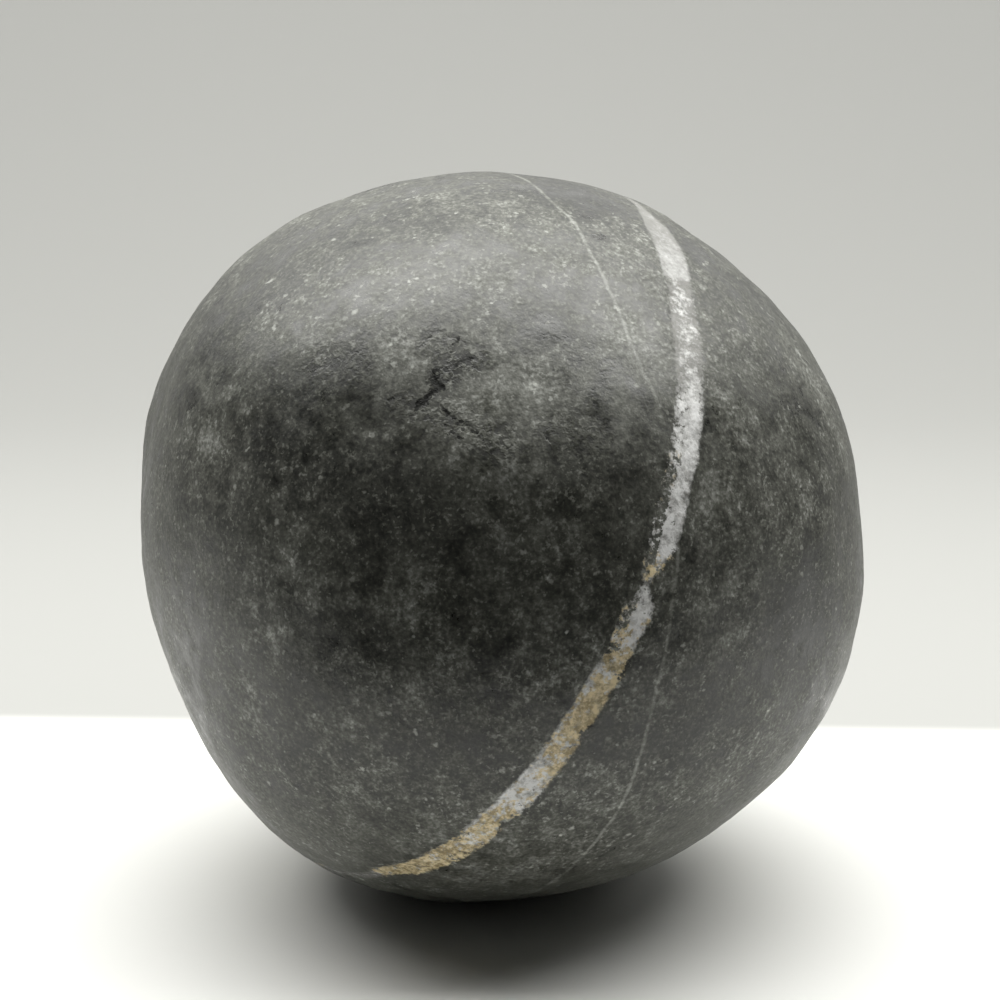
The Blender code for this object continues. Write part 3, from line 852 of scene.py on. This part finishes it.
# ======================================================================================================
# Camera
# ======================================================================================================
DISTANCE = 0.195
ELEVATION = math.radians(12.0)
camera_data = bpy.data.cameras.new("camera")
camera_data.lens = 70.0
camera_data.sensor_width = 36.0
camera_data.shift_x = 0.003
camera_data.shift_y = 0.0354
camera_data.clip_start = 0.01
camera = bpy.data.objects.new("camera", camera_data)
camera.location = (0.0, -DISTANCE * math.cos(ELEVATION), CORE_HEIGHT + DISTANCE * math.sin(ELEVATION))
camera.rotation_euler = (math.radians(90.0) - ELEVATION, 0.0, 0.0)
scene.collection.objects.link(camera)
scene.camera = camera

# ======================================================================================================
# Stage: a table that sweeps up into a backdrop
# ======================================================================================================
SWEEP_START, SWEEP_RADIUS, WALL_TOP, WIDE = 0.30, 0.35, 1.6, 2.5
profile = [(-2.5, 0.0), (0.02, 0.0), (SWEEP_START, 0.0)]
for step in range(1, 25):
    turn = math.radians(90) * step / 24
    profile.append((SWEEP_START + SWEEP_RADIUS * math.sin(turn), SWEEP_RADIUS * (1 - math.cos(turn))))
profile.append((SWEEP_START + SWEEP_RADIUS, WALL_TOP))
stage_mesh = bpy.data.meshes.new("floor")
stage_points = [(x, y, z - 0.00005) for y, z in profile for x in (-WIDE, WIDE)]
stage_faces = [(2 * i, 2 * i + 1, 2 * i + 3, 2 * i + 2) for i in range(len(profile) - 1)]
stage_mesh.from_pydata(stage_points, [], stage_faces)
stage_mesh.polygons.foreach_set("use_smooth", [True] * len(stage_faces))
floor = bpy.data.objects.new("floor", stage_mesh)
scene.collection.objects.link(floor)
floor_mat = bpy.data.materials.new("floor_white")
floor_mat.use_nodes = True
tree = floor_mat.node_tree
paint = tree.nodes["Principled BSDF"]
paint.inputs["Roughness"].default_value = 0.9
paint.inputs["Specular IOR Level"].default_value = 0.0
# White under the stone, a little greyer from just behind it and up the sweep.
apart = tree.nodes.new("ShaderNodeSeparateXYZ")
tree.links.new(tree.nodes.new("ShaderNodeTexCoord").outputs["Object"], apart.inputs[0])
skew = tree.nodes.new("ShaderNodeMath")  # the edge runs a little askew
skew.operation = "MULTIPLY_ADD"
skew.inputs[1].default_value = 0.0446
tree.links.new(apart.outputs["X"], skew.inputs[0])
tree.links.new(apart.outputs["Y"], skew.inputs[2])
turn = tree.nodes.new("ShaderNodeMapRange")
turn.interpolation_type = "SMOOTHSTEP"
for socket, value in (("From Min", 0.0445), ("From Max", 0.0515), ("To Min", 0.0), ("To Max", 1.0)):
    turn.inputs[socket].default_value = value
tree.links.new(skew.outputs[0], turn.inputs["Value"])
paints = tree.nodes.new("ShaderNodeMix")
paints.data_type = "RGBA"
paints.inputs[6].default_value = (0.80, 0.80, 0.785, 1.0)
paints.inputs[7].default_value = (0.388, 0.388, 0.379, 1.0)
tree.links.new(turn.outputs["Result"], paints.inputs[0])
tree.links.new(paints.outputs[2], paint.inputs["Base Color"])
stage_mesh.materials.append(floor_mat)

# A dark card lies on the table in front of the picture, so that the face reflects a dark room and the
# underside reflects the white near the stone.
card_mesh = bpy.data.meshes.new("flag")
card_mesh.from_pydata([(-2, -2.070, 0.0002), (2, -2.070, 0.0002), (2, -0.070, 0.0002), (-2, -0.070, 0.0002)], [], [(0, 1, 2, 3)])
card = bpy.data.objects.new("flag", card_mesh)
scene.collection.objects.link(card)
card_mat = bpy.data.materials.new("flag_black")
card_mat.use_nodes = True
card_mat.node_tree.nodes["Principled BSDF"].inputs["Base Color"].default_value = (0.01, 0.01, 0.01, 1)
card_mat.node_tree.nodes["Principled BSDF"].inputs["Specular IOR Level"].default_value = 0.0
card_mesh.materials.append(card_mat)
card.visible_camera = False
card.visible_shadow = False

world = bpy.data.worlds.new("world")
world.use_nodes = True
world.node_tree.nodes["Background"].inputs[0].default_value = (0.62, 0.62, 0.60, 1)
world.node_tree.nodes["Background"].inputs[1].default_value = 1.0
scene.world = world
# The pale room is seen past the stage's edges but lights nothing.
world.cycles_visibility.diffuse = False
world.cycles_visibility.glossy = False


def soft_light(name, place, turn, width, height, radiance):
    light = bpy.data.lights.new(name, "AREA")
    light.shape = "RECTANGLE"
    light.size, light.size_y = width, height
    light.energy = math.pi * width * height * radiance
    light.color = (1.0, 1.0, 0.965)
    lamp = bpy.data.objects.new(name, light)
    lamp.location = place
    lamp.rotation_euler = [math.radians(v) for v in turn]
    lamp.visible_camera = False
    scene.collection.objects.link(lamp)


soft_light("over", (-0.01, 0.03, 0.332), (0, 0, -1), 0.70, 0.182, 7.05)
soft_light("over front", (0.057, -0.066, 0.332), (0, 0, -1), 0.362, 0.057, 5.6)
soft_light("behind", (0.0, 0.487, 0.332), (0, 0, 0), 1.37, 0.60, 1.73)
soft_light("left", (-0.45, 0.195, 0.14), (90, 0, -90), 0.60, 0.26, 0.165)
soft_light("right", (0.45, 0.195, 0.14), (90, 0, 90), 0.60, 0.26, 0.108)
scene.view_settings.view_transform = "Standard"
